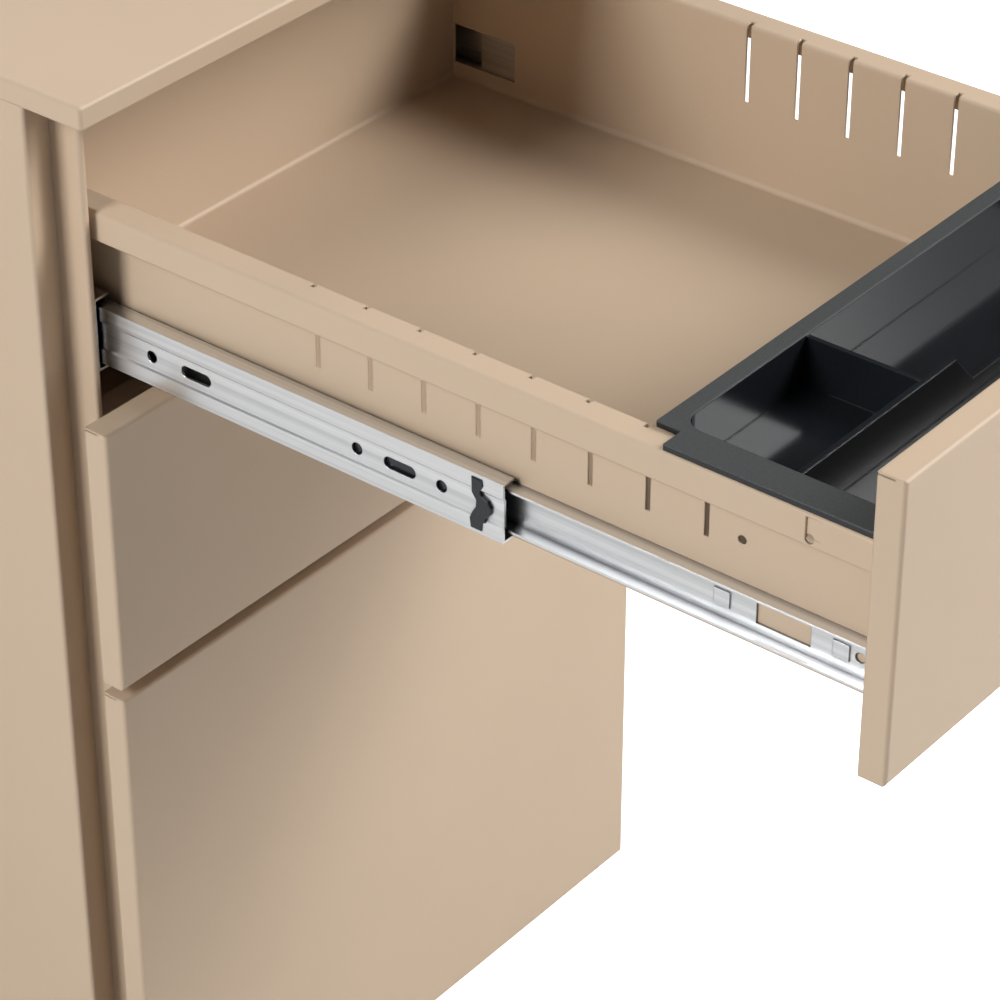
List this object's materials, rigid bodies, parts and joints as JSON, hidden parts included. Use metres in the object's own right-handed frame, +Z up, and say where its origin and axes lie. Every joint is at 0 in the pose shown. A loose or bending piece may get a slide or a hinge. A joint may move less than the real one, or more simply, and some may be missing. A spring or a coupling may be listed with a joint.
{
  "type": "filing cabinet",
  "caption": "Steel filing cabinet with shallow drawers over a deep filing drawer, telescopic slides, side finger grips and a lift-out pen tray.",
  "frame": {"origin": "on the floor, under the middle of the whole object with the top drawer open as stored", "axes": "-Y the way the drawers open, +X to the right of someone facing the drawer fronts, +Z up"},
  "size_m": [0.4, 0.9836, 0.7],
  "materials": {
    "beige_paint": "satin",
    "zinc_steel": "semi-bright zinc plate",
    "bright_steel": "polished",
    "black_plastic": "gloss",
    "foot_plastic": "matte"
  },
  "bodies": {
    "cabinet": {"left_side_panel": "beige_paint", "right_side_panel": "beige_paint", "top_panel": "beige_paint", "back_panel": "beige_paint", "base_panel": "beige_paint", "top_cross_rail": "beige_paint", "upper_cross_rail": "beige_paint", "lower_cross_rail": "beige_paint", "base_cross_rail": "beige_paint", "front_left_upright": "beige_paint", "rear_left_upright": "beige_paint", "front_right_upright": "beige_paint", "rear_right_upright": "beige_paint", "front_left_foot": "foot_plastic", "rear_left_foot": "foot_plastic", "front_right_foot": "foot_plastic", "rear_right_foot": "foot_plastic", "back_panel_screws": "bright_steel", "top_drawer_left_cabinet_member": "zinc_steel", "top_drawer_right_cabinet_member": "zinc_steel", "middle_drawer_left_cabinet_member": "zinc_steel", "middle_drawer_right_cabinet_member": "zinc_steel", "bottom_drawer_left_cabinet_member": "zinc_steel", "bottom_drawer_right_cabinet_member": "zinc_steel"},
    "top_drawer": {"top_drawer_front": "beige_paint", "top_drawer_front_liner": "beige_paint", "top_drawer_box": "beige_paint", "top_drawer_left_drawer_member": "zinc_steel", "top_drawer_right_drawer_member": "zinc_steel"},
    "top_drawer_slide_intermediates": {"top_drawer_left_intermediate_member": "zinc_steel", "top_drawer_left_clip": "black_plastic", "top_drawer_right_intermediate_member": "zinc_steel", "top_drawer_right_clip": "black_plastic"},
    "top_drawer_slide_cages": {"top_drawer_left_ball_cage": "black_plastic", "top_drawer_right_ball_cage": "black_plastic"},
    "middle_drawer": {"middle_drawer_front": "beige_paint", "middle_drawer_front_liner": "beige_paint", "middle_drawer_box": "beige_paint", "middle_drawer_left_drawer_member": "zinc_steel", "middle_drawer_right_drawer_member": "zinc_steel"},
    "middle_drawer_slide_intermediates": {"middle_drawer_left_intermediate_member": "zinc_steel", "middle_drawer_left_clip": "black_plastic", "middle_drawer_right_intermediate_member": "zinc_steel", "middle_drawer_right_clip": "black_plastic"},
    "middle_drawer_slide_cages": {"middle_drawer_left_ball_cage": "black_plastic", "middle_drawer_right_ball_cage": "black_plastic"},
    "bottom_drawer": {"bottom_drawer_front": "beige_paint", "bottom_drawer_front_liner": "beige_paint", "bottom_drawer_box": "beige_paint", "bottom_drawer_left_drawer_member": "zinc_steel", "bottom_drawer_right_drawer_member": "zinc_steel", "front_file_rail": "zinc_steel", "rear_file_rail": "zinc_steel"},
    "bottom_drawer_slide_intermediates": {"bottom_drawer_left_intermediate_member": "zinc_steel", "bottom_drawer_left_clip": "black_plastic", "bottom_drawer_right_intermediate_member": "zinc_steel", "bottom_drawer_right_clip": "black_plastic"},
    "bottom_drawer_slide_cages": {"bottom_drawer_left_ball_cage": "black_plastic", "bottom_drawer_right_ball_cage": "black_plastic"},
    "pen_tray": {"pen_tray": "black_plastic"}
  },
  "joints": [
    {"name": "top_drawer_travel", "type": "slide", "parent": "cabinet", "child": "top_drawer", "axis": [0, -1, 0], "range_m": [-0.4216, 0.0284]},
    {"name": "top_drawer_intermediates_travel", "type": "slide", "parent": "cabinet", "child": "top_drawer_slide_intermediates", "axis": [0, -1, 0], "range_m": [-0.2277, 0.0154]},
    {"name": "top_drawer_cages_travel", "type": "slide", "parent": "cabinet", "child": "top_drawer_slide_cages", "axis": [0, -1, 0], "range_m": [-0.3247, 0.0219]},
    {"name": "middle_drawer_travel", "type": "slide", "parent": "cabinet", "child": "middle_drawer", "axis": [0, -1, 0], "range_m": [0, 0.45]},
    {"name": "middle_drawer_intermediates_travel", "type": "slide", "parent": "cabinet", "child": "middle_drawer_slide_intermediates", "axis": [0, -1, 0], "range_m": [0, 0.2431]},
    {"name": "middle_drawer_cages_travel", "type": "slide", "parent": "cabinet", "child": "middle_drawer_slide_cages", "axis": [0, -1, 0], "range_m": [0, 0.3466]},
    {"name": "bottom_drawer_travel", "type": "slide", "parent": "cabinet", "child": "bottom_drawer", "axis": [0, -1, 0], "range_m": [0, 0.45]},
    {"name": "bottom_drawer_intermediates_travel", "type": "slide", "parent": "cabinet", "child": "bottom_drawer_slide_intermediates", "axis": [0, -1, 0], "range_m": [0, 0.2431]},
    {"name": "bottom_drawer_cages_travel", "type": "slide", "parent": "cabinet", "child": "bottom_drawer_slide_cages", "axis": [0, -1, 0], "range_m": [0, 0.3466]},
    {"name": "pen_tray_lift", "type": "slide", "parent": "top_drawer", "child": "pen_tray", "axis": [0, 0, 1], "range_m": [0, 0.12]}
  ],
  "couplings": [
    {"joint": "top_drawer_intermediates_travel", "follows": "top_drawer_travel", "ratio": 0.54},
    {"joint": "top_drawer_cages_travel", "follows": "top_drawer_travel", "ratio": 0.77},
    {"joint": "middle_drawer_intermediates_travel", "follows": "middle_drawer_travel", "ratio": 0.54},
    {"joint": "middle_drawer_cages_travel", "follows": "middle_drawer_travel", "ratio": 0.77},
    {"joint": "bottom_drawer_intermediates_travel", "follows": "bottom_drawer_travel", "ratio": 0.54},
    {"joint": "bottom_drawer_cages_travel", "follows": "bottom_drawer_travel", "ratio": 0.77}
  ]
}
